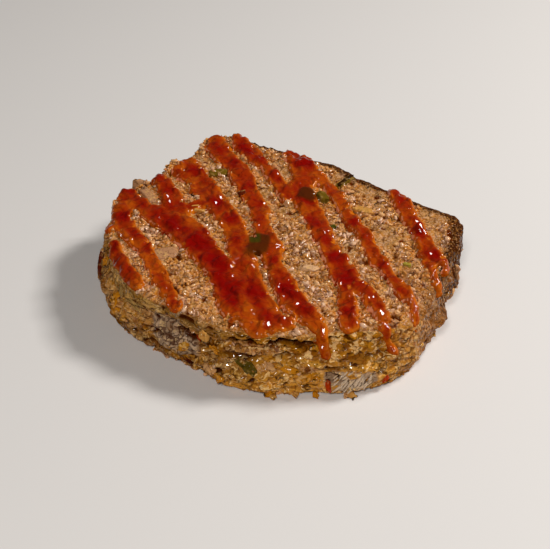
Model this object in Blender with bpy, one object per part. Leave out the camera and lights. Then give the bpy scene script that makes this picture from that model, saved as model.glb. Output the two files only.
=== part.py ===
"""A thick slice of meatloaf lying flat on one cut face, as one solid.

The slice is a loft. The cut face has an outline with one long, nearly straight side, where the loaf
stood in its pan, and a rounded crown opposite it. Rings of points run from the middle of the cut face
over a rounded shoulder, down the browned side, round the foot and in to the flat underside.
Everything is in millimetres until the mesh is made, then in metres, with +Z up.
"""

import math

import bmesh
import bpy
from mathutils import Vector, noise

MM = 0.001

# Driving dimensions, in millimetres. Below FOOT_FADE the relief dies away, so that the foot lies flat, and
# FLARE_POWER shapes the slope from the foot up to the rim.
THICKNESS = 22.0
FOOT_RADIUS = 1.8
SIDE_BULGE = 0.6
FOOT_FADE = 4.0
FLARE_POWER = 1.3
POINTS_ROUND = 128
SIDE_STEPS = 10
CURVE_STEPS = 24
FACE_SHARES = (0.1, 0.19, 0.28, 0.37, 0.46, 0.54, 0.62, 0.7, 0.77, 0.84, 0.9, 0.95, 1.0)
EDGE_ANGLES = [math.radians(angle) for angle in (22.5, 45.0, 67.5)]

# Outline of the cut face from above, anticlockwise from the right-hand corner of the straight side.
RIM = [
    (62.0, -1.0), (59.0, 4.0), (50.0, 10.5), (40.0, 19.0), (30.0, 28.0), (20.0, 35.0),
    (10.0, 42.0), (-2.0, 47.5), (-13.5, 54.5), (-22.0, 53.0), (-27.0, 46.0), (-33.0, 38.5),
    (-39.5, 29.0), (-46.5, 21.5), (-51.5, 18.5), (-54.0, 8.0), (-55.0, -6.0), (-52.5, -18.0),
    (-47.0, -30.0), (-39.0, -41.0), (-29.0, -49.5), (-18.0, -56.0), (-6.0, -59.5), (8.0, -59.5),
    (22.0, -60.0), (34.0, -57.5), (42.5, -51.0), (49.0, -40.0), (55.0, -27.0), (60.0, -13.0),
]

# How far the foot stands out beyond the rim, as (bearing in degrees, millimetres).
FLARE = [
    (0, 0.2), (35, 0.0), (90, 0.5), (135, 1.0), (160, 1.6), (180, 2.6), (200, 2.8), (215, 2.0),
    (228, 0.0), (245, -0.4), (262, 3.6), (285, 4.4), (303, 1.8), (318, -1.6), (338, -2.6),
]

# Radius of the rounded edge between the cut face and the side, as (bearing in degrees, millimetres).
SHOULDER = [(10, 2.0), (60, 1.6), (130, 2.0), (190, 2.6), (240, 2.2), (275, 3.6), (305, 4.2), (340, 2.8)]

# Height of the cut face above or below THICKNESS, as (bearing in degrees, millimetres at the rim).
RIM_RISE = [(0, 0.4), (60, 0.0), (110, 0.8), (170, 0.0), (215, -1.0), (245, -2.0), (280, -0.6), (320, 0.0)]

# Cracks in the side: bearing and half-width in degrees, height, half-height and depth in millimetres.
CRACKS = [
    (250.0, 24.0, 14.2, 1.3, 3.2),
    (222.0, 14.0, 10.5, 1.2, 1.8),
    (268.0, 12.0, 10.0, 1.2, 1.6),
    (188.0, 9.0, 14.5, 1.7, 2.4),
]

# Lumps and notches on the rim: bearing and half-width in degrees, and millimetres out.
RIM_LUMPS = [
    (103.5, 3.0, 0.8), (113.5, 2.6, 0.6), (122.0, 2.4, 0.2), (133.0, 1.8, 2.2), (139.0, 2.0, 0.6),
    (146.0, 2.2, -1.4), (151.0, 2.2, 0.6), (158.0, 3.0, 0.6), (184.0, 2.6, 1.0), (192.0, 3.0, -0.8),
    (80.0, 4.0, 1.0), (60.0, 3.0, 0.6), (44.0, 3.0, -0.6), (18.0, 5.0, 1.0), (319.0, 4.0, 0.9),
]

# Lumps on the side: bearing and half-width in degrees, height, half-height, and millimetres out.
SIDE_LUMPS = [
    (198.0, 4.0, 10.5, 2.6, 2.0), (325.0, 5.0, 9.5, 4.0, 3.4), (311.0, 5.0, 8.0, 4.0, 0.9),
    (214.0, 6.0, 5.0, 3.5, 1.4), (256.0, 7.0, 4.5, 3.2, 1.6), (277.0, 8.0, 6.0, 4.0, 1.4),
    (296.0, 6.0, 5.0, 4.0, 1.3), (236.0, 6.0, 8.0, 3.0, 1.5),
]

# Relief of the meat, as (length of the lumps, their thickness, height), in millimetres.
SIDE_RELIEF = [(16.0, 10.0, 1.2), (9.0, 3.6, 1.1)]
FACE_RELIEF = [(24.0, 24.0, 0.7), (9.0, 9.0, 0.5)]

NOISE_STEP = Vector((31.7, 5.3, 11.9))

MEAT_COLOUR = (0.35, 0.19, 0.09, 1.0)
MEAT_ROUGHNESS = 0.55


def clear_scene():
    """Remove the objects that a new Blender file starts with."""
    for obj in list(bpy.data.objects):
        bpy.data.objects.remove(obj, do_unlink=True)


def catmull_rom(before, start, end, after, t):
    """A point on the smooth curve from start to end; works on numbers and on vectors."""
    return 0.5 * (
        2 * start
        + (end - before) * t
        + (2 * before - 5 * start + 4 * end - after) * t**2
        + (3 * start - before - 3 * end + after) * t**3
    )


def round_curve(points, count):
    """count points, evenly spaced, on the closed smooth curve through the points."""
    knots = [Vector(point) for point in points]
    dense = []
    for i in range(len(knots)):
        four = [knots[(i + shift) % len(knots)] for shift in (-1, 0, 1, 2)]
        dense += [catmull_rom(*four, step / CURVE_STEPS) for step in range(CURVE_STEPS)]
    dense.append(dense[0])
    lengths = [(b - a).length for a, b in zip(dense, dense[1:])]
    spacing = sum(lengths) / count
    made = []
    walked = 0.0
    for (a, b), length in zip(zip(dense, dense[1:]), lengths):
        while len(made) < count and len(made) * spacing < walked + length:
            made.append(a.lerp(b, (len(made) * spacing - walked) / length))
        walked += length
    return made


def by_bearing(table, bearing):
    """The value at a bearing, on the smooth closed curve through a table of (bearing, value)."""
    rows = sorted(table)
    count = len(rows)
    after = next((i for i, row in enumerate(rows) if row[0] > bearing), 0)
    start, end = rows[after - 1], rows[after]
    span = (end[0] - start[0]) % 360
    four = [rows[(after + shift) % count][1] for shift in (-2, -1, 0, 1)]
    return catmull_rom(*four, ((bearing - start[0]) % 360) / span)


def angle_between(a, b):
    """The smaller angle between two bearings, in degrees."""
    return abs((a - b + 180) % 360 - 180)


def bump(distance, half_width):
    """A smooth bump of height 1 that has nearly gone at twice its half-width."""
    return math.exp(-((distance / half_width) ** 2))


def relief(point, layers):
    """Lumpy height at a point, from one layer of noise for each size of lump."""
    x, y, z = point
    return sum(
        height * noise.noise(Vector((x / length, y / length, z / thick)) + NOISE_STEP * layer)
        for layer, (length, thick, height) in enumerate(layers, 1)
    )


class Column:
    """One of the upright lines that the solid is lofted from: a point of the rim and its bearing."""

    def __init__(self, rim, index):
        here = rim[index]
        along = rim[(index + 2) % len(rim)] - rim[index - 2]
        self.out = Vector((along.y, -along.x)).normalized()
        self.bearing = math.degrees(math.atan2(here.y, here.x)) % 360
        lumps = sum(
            size * bump(angle_between(self.bearing, at), width) for at, width, size in RIM_LUMPS
        )
        self.rim = here + self.out * lumps
        self.flare = by_bearing(FLARE, self.bearing)
        self.shoulder = by_bearing(SHOULDER, self.bearing)
        self.top = THICKNESS + by_bearing(RIM_RISE, self.bearing)

    def side_offset(self, height):
        """How far the side stands out beyond the rim at a height, cracks and lumps included."""
        share = height / self.top
        out = self.flare * (1 - share) ** FLARE_POWER + SIDE_BULGE * math.sin(math.pi * share)
        for at, width, level, half_height, depth in CRACKS:
            near = bump(angle_between(self.bearing, at), width)
            out -= depth * near * bump(height - level, half_height)
        for at, width, level, half_height, size in SIDE_LUMPS:
            near = bump(angle_between(self.bearing, at), width)
            out += size * near * bump(height - level, half_height)
        return out

    def side_point(self, height, inset=0.0):
        """A point of the side at a height, relief included, moved in by the inset."""
        flat = self.rim + self.out * (self.side_offset(height) - inset)
        rough = relief((flat.x, flat.y, height), SIDE_RELIEF)
        flat += self.out * rough * min(1.0, height / FOOT_FADE)
        return Vector((flat.x, flat.y, height))

    def face_point(self, share):
        """A point of the cut face, at a share of the way from its middle to the shoulder's start."""
        edge = self.side_point(self.top, self.shoulder).xy
        flat = edge * share
        level = THICKNESS + (self.top - THICKNESS) * share**2
        return Vector((flat.x, flat.y, level + relief((flat.x, flat.y, 0), FACE_RELIEF)))


def loft_column(column):
    """The points of one column, from the middle of the cut face to the underside."""
    points = [column.face_point(share) for share in FACE_SHARES]
    edge_rise = points[-1].z - column.top
    for angle in EDGE_ANGLES:
        height = column.top - column.shoulder * (1 - math.cos(angle))
        inset = column.shoulder * (1 - math.sin(angle))
        point = column.side_point(height, inset)
        point.z += edge_rise * math.cos(angle)
        points.append(point)
    highest, lowest = column.top - column.shoulder, FOOT_RADIUS
    for step in range(SIDE_STEPS + 1):
        points.append(column.side_point(highest + (lowest - highest) * step / SIDE_STEPS))
    for angle in EDGE_ANGLES:
        height = FOOT_RADIUS * (1 - math.sin(angle))
        points.append(column.side_point(height, FOOT_RADIUS * (1 - math.cos(angle))))
    points.append(column.side_point(0.0, FOOT_RADIUS))
    return points


def loft_mesh(columns):
    """The closed mesh through the columns, its origin at the middle of the underside's box."""
    mesh = bmesh.new()
    grid = [[mesh.verts.new(point * MM) for point in column] for column in columns]
    for left, right in zip(grid, grid[1:] + grid[:1]):
        for row in range(len(left) - 1):
            mesh.faces.new((left[row], left[row + 1], right[row + 1], right[row]))
    middle = mesh.verts.new(sum((column[0].co for column in grid), Vector()) / len(grid))
    for left, right in zip(grid, grid[1:] + grid[:1]):
        mesh.faces.new((middle, left[0], right[0]))
    mesh.faces.new([column[-1] for column in reversed(grid)])
    xs, ys = ([vert.co[axis] for vert in mesh.verts] for axis in (0, 1))
    centre = Vector(((min(xs) + max(xs)) / 2, (min(ys) + max(ys)) / 2, 0.0))
    bmesh.ops.translate(mesh, verts=mesh.verts, vec=-centre)
    bmesh.ops.triangulate(mesh, faces=[face for face in mesh.faces if len(face.verts) > 4])
    bmesh.ops.recalc_face_normals(mesh, faces=mesh.faces)
    return mesh


def meat_material():
    """Plain browned meat."""
    material = bpy.data.materials.new("meat")
    material.use_nodes = True
    shader = material.node_tree.nodes["Principled BSDF"]
    shader.inputs["Base Color"].default_value = MEAT_COLOUR
    shader.inputs["Roughness"].default_value = MEAT_ROUGHNESS
    shader.inputs["Metallic"].default_value = 0.0
    return material


def make_meatloaf():
    """The slice: one closed solid from POINTS_ROUND columns."""
    rim = round_curve(RIM, POINTS_ROUND)
    columns = [loft_column(Column(rim, index)) for index in range(POINTS_ROUND)]
    mesh = loft_mesh(columns)
    data = bpy.data.meshes.new("meatloaf")
    mesh.to_mesh(data)
    mesh.free()
    data.materials.append(meat_material())
    data.shade_smooth()
    meatloaf = bpy.data.objects.new("meatloaf", data)
    bpy.context.scene.collection.objects.link(meatloaf)
    return meatloaf


clear_scene()
make_meatloaf()
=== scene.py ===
"""The looks of a thick slice of meatloaf that lies on its lower cut face.

The loaf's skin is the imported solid, remeshed finely and raised into granules, clumps, folds and cracks.
Stripes of tomato glaze run across the cut face and drip over its front rim. Loose granules, grit, strands
of meat, onion and pepper are meshes of their own. Lengths are in millimetres until a mesh is made.
"""

import math

import bmesh
import bpy
import numpy as np
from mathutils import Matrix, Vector, noise
from mathutils.bvhtree import BVHTree


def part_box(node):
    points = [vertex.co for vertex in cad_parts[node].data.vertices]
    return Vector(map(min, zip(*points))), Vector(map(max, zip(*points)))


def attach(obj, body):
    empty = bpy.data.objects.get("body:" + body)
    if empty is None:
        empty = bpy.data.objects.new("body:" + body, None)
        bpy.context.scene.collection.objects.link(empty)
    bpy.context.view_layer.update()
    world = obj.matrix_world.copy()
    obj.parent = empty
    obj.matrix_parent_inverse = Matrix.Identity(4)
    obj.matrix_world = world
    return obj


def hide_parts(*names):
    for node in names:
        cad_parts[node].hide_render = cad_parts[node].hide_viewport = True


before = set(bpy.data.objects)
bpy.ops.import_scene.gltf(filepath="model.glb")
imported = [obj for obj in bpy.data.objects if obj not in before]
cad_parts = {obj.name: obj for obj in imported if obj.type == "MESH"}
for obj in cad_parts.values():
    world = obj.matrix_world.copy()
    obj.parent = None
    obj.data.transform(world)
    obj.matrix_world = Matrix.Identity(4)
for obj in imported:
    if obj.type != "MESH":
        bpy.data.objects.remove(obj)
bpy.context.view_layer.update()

MM = 0.001
NODE = "meatloaf"
BODY = "root"
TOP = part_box(NODE)[1][2] / MM

# The loaf's skin: its grid, rounds of smoothing, rounds that spread its baked rim, the height under which
# it is hidden, how deep in glaze it is hidden, and the share and weight of the faces kept where it is.
SKIN_GRID = 0.45
SKIN_SMOOTHING = 8
RIM_SPREADING = 40
UNDERSIDE = 0.5
BURIED = 1.4
HIDDEN_KEPT = 0.05
HIDDEN_WEIGHT = 10.0

# Long cracks in the front: bearing and half-width in degrees, height, slope from left to right in
# millimetres for each degree, half-height and depth in millimetres.
SPLITS = [
    (264.0, 13.0, 16.6, 0.02, 1.0, 4.4),
    (240.0, 5.0, 13.6, 0.10, 0.6, 2.0),
    (226.0, 5.0, 9.4, 0.05, 0.6, 1.6),
    (254.0, 6.0, 12.4, -0.06, 0.6, 1.8),
    (268.0, 6.0, 12.0, 0.05, 0.5, 1.6),
    (284.0, 6.0, 8.6, 0.05, 0.5, 1.4),
    (206.0, 8.0, 15.0, -0.05, 0.7, 1.8),
]

# Dark holes in the side: bearing, height, half-width in degrees, half-height and depth in millimetres.
HOLES = [
    (238.3, 19.4, 2.0, 1.5, 3.4),
    (250.4, 5.6, 1.0, 1.2, 2.0),
    (206.0, 13.6, 1.2, 1.2, 1.6),
]

# Broad swellings of the side: bearing, height, half-width in degrees, half-height and rise in millimetres.
SWELLS = [
    (342.0, 11.0, 4.0, 4.0, 2.2),
    (318.0, 8.0, 11.0, 9.0, 1.0),
    (52.0, 20.0, 22.0, 8.0, 1.0),
    (10.0, 18.0, 12.0, 8.0, 0.8),
    (207.0, 9.0, 9.0, 6.0, 0.9),
]

# Kinds of place on the side: bearing, height, half-width in degrees, half-height and strength. The wet side
# faces forwards. A calm place is smoother than the rest and a golden one lighter; a painted-highlight place
# has stronger painted highlights, and a shaded patch is darkened with painted shade.
# The crust is baked, a grey place is bare flesh, and the lip is the band under the rim. ALL is a half-height
# that takes in every height.
ALL = 100.0
SIDE_PLACES = {
    "wet": [(240.0, 0.0, 56.0, ALL, 1.0)],
    "calm": [(206.0, 0.0, 16.0, ALL, 1.0), (345.0, 0.0, 30.0, ALL, 0.6)],
    "painted_highlight": [(285.0, 0.0, 28.0, ALL, 1.0)],
    "shaded_patch": [(243.0, 16.5, 10.0, 4.0, 1.0), (254.0, 10.0, 7.0, 3.5, 1.0), (216.0, 2.5, 16.0, 2.5, 1.0)],
    "golden": [(278.0, 4.5, 24.0, 5.0, 1.0)],
    "crust": [(80.0, 0.0, 48.0, ALL, 1.0)],
    "grey": [(233.0, 10.5, 7.0, 3.8, 1.0), (290.0, 5.0, 5.0, 2.2, 1.0)],
    "lip": [(222.0, 18.0, 22.0, 1.8, 1.0)],
}

# Smooth places of the cut face, where no granules stand: (x, y, radius).
SMOOTH_PATCHES = [
    (32.0, 20.0, 7.0), (24.0, 30.0, 6.0), (38.0, 26.0, 4.0), (52.0, 6.0, 6.0), (50.0, -6.0, 4.0),
    (-25.0, 41.0, 4.0), (-18.0, 47.0, 3.0), (3.0, 48.0, 4.0), (8.8, -23.6, 4.0), (-37.0, -15.0, 4.5),
]

# The glaze: height of its top, widths of its rounded edge above and below the meat's surface, how far
# its edge and its underside reach under that surface, how far it spreads past its stripes, the spacing of
# its path's points, the lowest place that it reaches, and what stands for a depth far outside it.
GLAZE_HEIGHT = 0.7
GLAZE_EDGE = 0.7
GLAZE_DIVE = 0.5
GLAZE_ROOT = 2.0
GLAZE_UNDERSIDE = 2.4
GLAZE_SPREAD = 0.5
GLAZE_SAMPLE = 0.6
GLAZE_LOWEST = 8.0
FAR_OUTSIDE = -9.0

# Glaze stripes on the cut face, from the back rim forwards: (x, y, half-width).
STRIPES = {
    "left_rim": [(-53.6, -10.2, 1.3), (-52.4, -15.2, 1.9), (-49.2, -22.2, 2.0), (-46.0, -28.6, 2.0),
                 (-44.2, -32.0, 1.3)],
    "left_corner": [(-52.2, 19.0, 2.0), (-52.6, 7.8, 3.3), (-50.0, -2.2, 3.1), (-44.6, -10.2, 2.7),
                    (-41.6, -18.2, 2.4), (-38.2, -27.2, 2.6), (-34.0, -36.6, 2.2), (-31.8, -42.0, 1.8)],
    "pool_left": [(-51.7, 19.4, 2.4), (-48.5, 14.4, 3.2), (-44.1, 8.6, 3.8), (-35.5, 2.2, 5.6),
                  (-29.1, -5.8, 5.7), (-23.9, -15.1, 4.9), (-18.7, -24.6, 4.9), (-15.5, -34.6, 5.0),
                  (-13.9, -43.0, 4.6), (-12.9, -46.6, 3.6)],
    "pool_back": [(-41.6, 29.0, 2.6), (-38.8, 23.0, 3.0), (-36.8, 16.4, 3.8), (-34.8, 8.4, 4.6)],
    "pool_spur": [(-35.9, 35.0, 1.7), (-34.1, 31.4, 1.9), (-30.7, 27.0, 1.8), (-28.3, 19.0, 1.2)],
    "pool_bridge": [(-30.4, 10.4, 2.0), (-26.4, 13.0, 2.0), (-23.4, 12.6, 1.6)],
    "pool_right": [(-31.8, 38.4, 3.0), (-27.8, 28.4, 4.0), (-23.2, 18.0, 4.1), (-20.0, 10.4, 3.8),
                   (-16.0, 1.8, 4.0), (-14.0, -7.2, 3.5), (-12.2, -15.6, 4.0), (-10.4, -25.6, 4.0),
                   (-8.4, -36.0, 4.4), (-5.8, -45.0, 5.0), (-3.2, -49.6, 4.4)],
    "pool_edge": [(-10.8, -48.6, 2.4), (-7.8, -53.6, 2.2), (-5.4, -54.6, 1.6), (-2.4, -52.6, 2.6),
                  (1.6, -51.6, 2.6)],
    "middle": [(-22.5, 54.2, 3.0), (-21.7, 48.0, 4.1), (-16.3, 38.0, 3.6), (-12.9, 30.4, 4.0),
               (-10.5, 20.4, 3.1), (-6.7, 10.0, 3.5), (-6.7, 2.8, 2.6), (-3.7, -9.6, 3.1),
               (-1.5, -22.6, 2.6), (1.5, -32.6, 3.4), (4.7, -42.4, 3.9), (9.5, -50.4, 2.9),
               (12.5, -55.0, 1.5)],
    "thin_back": [(-14.2, 55.4, 2.6), (-11.8, 49.0, 3.4), (-8.0, 42.0, 3.4), (-4.6, 36.4, 1.5),
                  (-2.0, 30.4, 2.6), (0.4, 23.4, 2.6), (3.6, 17.0, 3.0)],
    "broad": [(6.1, 44.4, 4.4), (8.1, 37.4, 4.5), (9.3, 30.0, 4.3), (7.3, 22.8, 4.0), (8.5, 15.8, 4.0),
              (10.7, 7.8, 3.6), (13.3, -1.2, 3.6), (15.5, -11.2, 2.9), (18.5, -21.2, 4.1),
              (21.1, -31.2, 4.4)],
    "broad_blob": [(20.4, -35.4, 2.0), (20.8, -43.2, 2.6), (21.0, -49.6, 2.9), (20.8, -53.2, 2.5)],
    "broad_fork": [(24.8, -34.8, 2.9), (28.2, -40.8, 2.6), (30.4, -47.6, 2.3), (31.6, -53.4, 1.7)],
    "right_fork": [(12.9, 31.0, 2.8), (16.5, 24.8, 2.2), (19.7, 17.4, 2.4), (21.7, 10.0, 2.0),
                   (24.3, 2.4, 2.4), (27.9, -7.0, 2.5), (30.3, -17.2, 2.2), (32.7, -22.6, 2.5),
                   (34.9, -29.0, 1.6), (38.3, -37.6, 2.5), (40.5, -43.0, 1.5), (41.3, -47.2, 1.1)],
    "right_rim": [(39.5, 21.8, 2.0), (41.5, 13.8, 2.8), (43.9, 3.8, 2.8), (46.3, -6.6, 2.7),
                  (48.5, -17.0, 3.2), (50.9, -21.6, 2.6)],
    "right_tail": [(47.3, -22.6, 2.0), (47.9, -26.6, 1.2), (49.3, -32.6, 0.8)],
    "right_drop": [(52.5, -23.0, 1.5), (52.9, -26.0, 0.7)],
    "pepper": [(-8.4, -12.8, 4.2), (-3.4, -12.6, 4.2)],
}

# Drips that run on from a stripe's end over the front rim: (x, height above the floor, half-width).
DRIPS = {
    "middle": [(12.8, 18.6, 1.3), (13.4, 15.8, 1.2), (14.0, 13.4, 1.1)],
    "broad_fork": [(32.2, 18.0, 0.6), (33.2, 15.4, 0.4), (34.2, 13.0, 1.0)],
    "right_fork": [(41.2, 17.6, 0.8), (41.4, 15.8, 0.8)],
}

# Swollen places of the glaze: (x, y, height above the floor, radius, rise).
DOMES = [
    (46.7, -3.4, 22.0, 3.0, 1.0), (13.0, -55.2, 20.0, 2.2, 1.0), (34.2, -54.6, 13.6, 2.0, 1.2),
    (-5.0, -52.8, 21.6, 2.4, 0.8), (1.4, -51.4, 21.8, 2.4, 0.9), (-38.1, 14.8, 22.1, 2.6, 0.9),
    (-10.7, 0.2, 22.0, 1.4, 0.5), (-6.2, -17.7, 22.0, 1.4, 0.6), (51.3, -23.4, 21.9, 1.8, 0.7),
    (21.6, -41.2, 22.1, 1.4, 0.5), (25.6, -41.6, 22.2, 1.4, 0.5), (39.8, -43.0, 22.0, 1.8, 0.8),
    (30.4, -50.0, 22.0, 2.2, 0.9), (22.4, -50.6, 21.8, 1.5, 0.5), (-33.6, -38.6, 22.0, 1.8, 0.5),
    (-26.0, 8.0, 22.0, 1.4, 0.5), (13.0, 29.8, 22.0, 1.2, 0.5), (5.6, -44.0, 22.0, 2.2, 0.5),
]

# The way that a swollen place faces, so that it mirrors the main light, and how far it bends, as a radius.
GLINT_FACING = np.array([0.42, -0.38, 0.82])
GLINT_BEND = 12.0

# Deep red pools in the glaze: (x, y, radius).
POOLS = [
    (-52, 6, 2.4), (-48, -6, 1.8), (-43, -13, 1.8), (-53, -12, 1.6), (-50, 20, 1.8), (-37, 20, 2.0),
    (-35, -1, 2.6), (-27, -10, 4.0), (-21, -21, 3.8), (-16, -33, 4.8), (-8, -36, 3.4), (-14, -42, 2.4),
    (-3, -50, 2.2), (-30, 34, 2.6), (-21, 14, 1.8), (-16, 3, 2.0), (-15, 40, 1.8), (-11, 48, 2.4),
    (-11, 22, 1.8), (-1, 30, 1.8), (11, 38, 3.2), (10, 15, 2.6), (11, 1, 2.4), (15, -10, 2.6),
    (18, -20, 2.4), (21, -32, 3.0), (21, -48, 1.8), (3, -36, 2.6), (8, -46, 2.4), (-2, -22, 1.4),
    (41, 13, 2.6), (47, -6, 2.0), (49, -19, 2.2), (33, -23, 1.6), (24, 0, 1.4), (37, -38, 1.4),
    (34, -56, 1.6),
]

# Beads of glaze: (x, y, radius).
BEADS = [(-55.6, -0.8, 1.8), (-38.4, 15.4, 1.8), (-53.2, 2.4, 1.0)]

# Pepper that lies under the glaze, brown and green: (x, y, length, width, turn in degrees).
UNDER_GLAZE = {
    "brown": [(-6.4, -12.4, 8.6, 14.0, -8.0), (9.6, 18.0, 7.4, 9.0, -20.0)],
    "green": [(-8.2, -9.2, 4.6, 6.0, 4.0), (14.4, 17.2, 2.4, 5.4, 24.0)],
}

# Colours of the set pieces, as a screen shows them.
GREEN, OLIVE, BLACK_GREEN, LIME = (56, 58, 4), (104, 78, 16), (48, 26, 6), (160, 140, 50)
GOLDEN, TAN, PALE, GREY_TAN = (200, 140, 66), (204, 150, 96), (218, 168, 122), (180, 128, 88)
AMBER, BROWN, CRUST_RED, RED = (196, 122, 20), (120, 70, 20), (92, 26, 6), (176, 52, 6)
SLATE = (150, 130, 118)

# Pieces set in the cut face: (x, y, length, width, thickness, turn in degrees, lift, colour).
TOP_PEPPER = [
    (-21.2, 33.4, 6.4, 3.4, 1.8, 14.0, 0.1, OLIVE),
    (14.8, 17.0, 3.0, 5.4, 2.4, 24.0, 0.5, OLIVE),
    (22.9, 27.4, 8.8, 2.6, 1.6, 52.0, 0.1, OLIVE),
    (22.9, 27.4, 8.0, 1.7, 1.8, 52.0, 0.3, BLACK_GREEN),
    (17.8, -0.8, 1.8, 1.6, 1.4, 30.0, 0.3, GREEN),
    (40.6, -22.6, 2.6, 1.3, 1.2, -30.0, 0.2, LIME),
    (-28.9, 17.9, 2.8, 1.3, 1.2, -35.0, 0.2, BLACK_GREEN),
    (-27.2, 16.2, 1.8, 1.0, 0.9, -50.0, 0.4, SLATE),
]
TOP_ONION = [
    (-36.8, -15.0, 7.6, 4.8, 1.4, 4.0, -0.1, GREY_TAN),
    (9.6, -24.4, 5.4, 3.0, 1.4, -22.0, 0.0, PALE),
    (-44.4, 17.4, 13.0, 3.2, 1.8, -62.0, 0.2, GREY_TAN),
    (-27.4, 11.6, 5.4, 1.5, 1.4, 14.0, 0.4, GOLDEN),
    (-26.8, 9.4, 3.6, 1.2, 1.2, -6.0, 0.4, GOLDEN),
    (28.2, 8.6, 7.0, 3.4, 1.6, -34.0, 0.2, GOLDEN),
    (-12.4, 18.4, 3.0, 2.2, 2.0, 20.0, 0.6, CRUST_RED),
]

# Pieces set in the side: (bearing, height, length, width, thickness, slant in degrees, lift, colour).
SIDE_PEPPER = [
    (259.4, 9.2, 6.2, 2.6, 1.8, -32.0, 0.3, (86, 68, 14)),
    (283.9, 3.4, 1.6, 3.4, 1.6, 8.0, 0.5, RED),
    (299.8, 3.8, 1.4, 2.4, 1.4, -12.0, 0.4, RED),
    (239.8, 3.2, 3.6, 1.0, 1.2, -28.0, 0.4, CRUST_RED),
    (243.0, 13.2, 2.2, 0.7, 1.0, -30.0, 0.3, RED),
]
SIDE_LUMPS = [
    (183.4, 8.0, 3.0, 7.6, 2.6, 6.0, 0.1, CRUST_RED),
    (188.5, 13.4, 2.6, 4.4, 2.0, 0.0, 0.2, AMBER),
    (206.0, 9.0, 3.4, 5.2, 2.0, 18.0, 0.3, AMBER),
    (245.5, 16.6, 3.0, 2.0, 2.0, 0.0, 0.5, GOLDEN),
    (250.0, 12.6, 3.6, 1.4, 1.4, -6.0, 0.4, AMBER),
    (273.0, 9.0, 5.4, 2.0, 1.6, -10.0, 0.4, AMBER),
    (278.5, 6.6, 5.0, 2.6, 1.8, 6.0, 0.4, AMBER),
    (248.5, 5.4, 3.4, 3.0, 1.8, -24.0, 0.3, TAN),
    (252.0, 4.0, 2.8, 2.0, 1.6, 20.0, 0.4, AMBER),
    (266.5, 9.6, 3.0, 1.6, 1.2, -30.0, 0.3, TAN),
    (303.0, 10.2, 3.4, 2.2, 1.4, 14.0, 0.2, BROWN),
    (347.0, 12.6, 2.6, 5.0, 2.6, 10.0, 0.6, GREY_TAN),
    (340.6, 8.5, 3.0, 4.6, 2.4, -14.0, 0.6, TAN),
    (267.0, 0.8, 3.2, 1.6, 2.8, 24.0, 0.6, AMBER),
    (268.4, 1.0, 1.8, 1.0, 3.2, -30.0, 1.0, GOLDEN),
    (274.8, 0.7, 2.4, 1.2, 2.6, -20.0, 0.8, GOLDEN),
    (280.4, 0.6, 1.6, 1.2, 2.0, 14.0, 0.6, AMBER),
    (290.2, 1.0, 2.2, 1.8, 3.2, 34.0, 0.9, GOLDEN),
    (288.8, 0.7, 1.6, 1.2, 2.4, -24.0, 0.8, TAN),
    (132.0, 22.0, 4.4, 1.8, 2.0, 80.0, 0.0, TAN),
    (150.6, 20.8, 5.6, 4.0, 4.0, 10.0, 0.2, GREY_TAN),
]

# Patches of loose strands: bearing, height, half-width in degrees, half-height, slant in degrees, how many,
# and their colour.
STRANDS = [
    (291.0, 4.8, 5.5, 2.8, 52.0, 46, (212, 184, 154)),
    (190.0, 13.0, 8.0, 6.0, 62.0, 34, (150, 104, 52)),
    (212.0, 15.0, 9.0, 3.0, -12.0, 22, (160, 122, 66)),
    (338.0, 12.0, 10.0, 6.0, 84.0, 30, (168, 128, 94)),
]

# A strand: shortest length and how much longer it may be, width, how far it turns from its patch's slant in
# degrees and its lift. A patch reaches STRAND_REACH times its half-width and half-height.
STRAND_LENGTH, STRAND_STRETCH, STRAND_WIDTH = 3.0, 2.0, 0.6
STRAND_TURN, STRAND_LIFT, STRAND_REACH = 40.0, 0.4, 1.6

# Lumps strewn over the skin: spacing, smallest and largest size, longest stretch, crumple and seed.
STREWN = {
    "chunks": (3.4, 1.0, 1.6, 1.9, 2.8, 4),
    "granules": (1.4, 0.75, 1.3, 2.4, 1.7, 14),
    "grit": (1.3, 0.4, 0.75, 2.2, 1.0, 24),
    "side_bits": (8.0, 0.9, 1.7, 2.2, 1.8, 34),
    "side_grit": (6.0, 0.5, 1.0, 2.4, 1.2, 44),
}

# What the strewn lumps' node tree is given. Its points are at most DENSITY_LIMIT to a square metre, and its
# lumps are crumpled in waves of CRUMPLE_SIZE.
SCATTER_INPUTS = {
    "Ground": "NodeSocketGeometry", "Spacing": "NodeSocketFloat", "Smallest": "NodeSocketFloat",
    "Largest": "NodeSocketFloat", "Longest": "NodeSocketFloat", "Crumple": "NodeSocketFloat",
    "Seed": "NodeSocketInt", "Material": "NodeSocketMaterial",
}
DENSITY_LIMIT = 4.0e6
CRUMPLE_SIZE = 0.8

# Where rays towards the skin start, over the floor and out from the middle.
RAY_HEIGHT = 100.0
RAY_DISTANCE = 200.0

# The camera, the floor and the lights: bearing and elevation in degrees, distance, size and power in watts.
LOOK_AT = (-1.4, 3.4, 0.0)
CAMERA_ELEVATION = math.radians(35.4)
CAMERA_DISTANCE = 483.8
CAMERA_ANGLE = math.radians(22.0)
SENSOR_WIDTH = 36.0
FLOOR_RADIUS = 3000.0
FLOOR_SIDES = 64
FLOOR_COLOUR = (226, 220, 214)
LIGHTS = {
    "key": (18.0, 46.0, 900.0, 200.0, 6.6),
    "fill": (262.0, 46.0, 1100.0, 200.0, 5.6),
}
WORLD_COLOUR = (1.0, 0.98, 0.96, 1.0)
WORLD_STRENGTH = 0.04


# ---------------------------------------------------------------- numbers

def smooth_step(low, high, value):
    """0 below low, 1 above high, and a smooth rise between them."""
    share = np.clip((value - low) / (high - low), 0.0, 1.0)
    return share * share * (3.0 - 2.0 * share)


def bearing_of(points):
    """The bearing of each point from the loaf's middle, in degrees from 0 to 360."""
    return np.degrees(np.arctan2(points[:, 1], points[:, 0])) % 360.0


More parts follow.
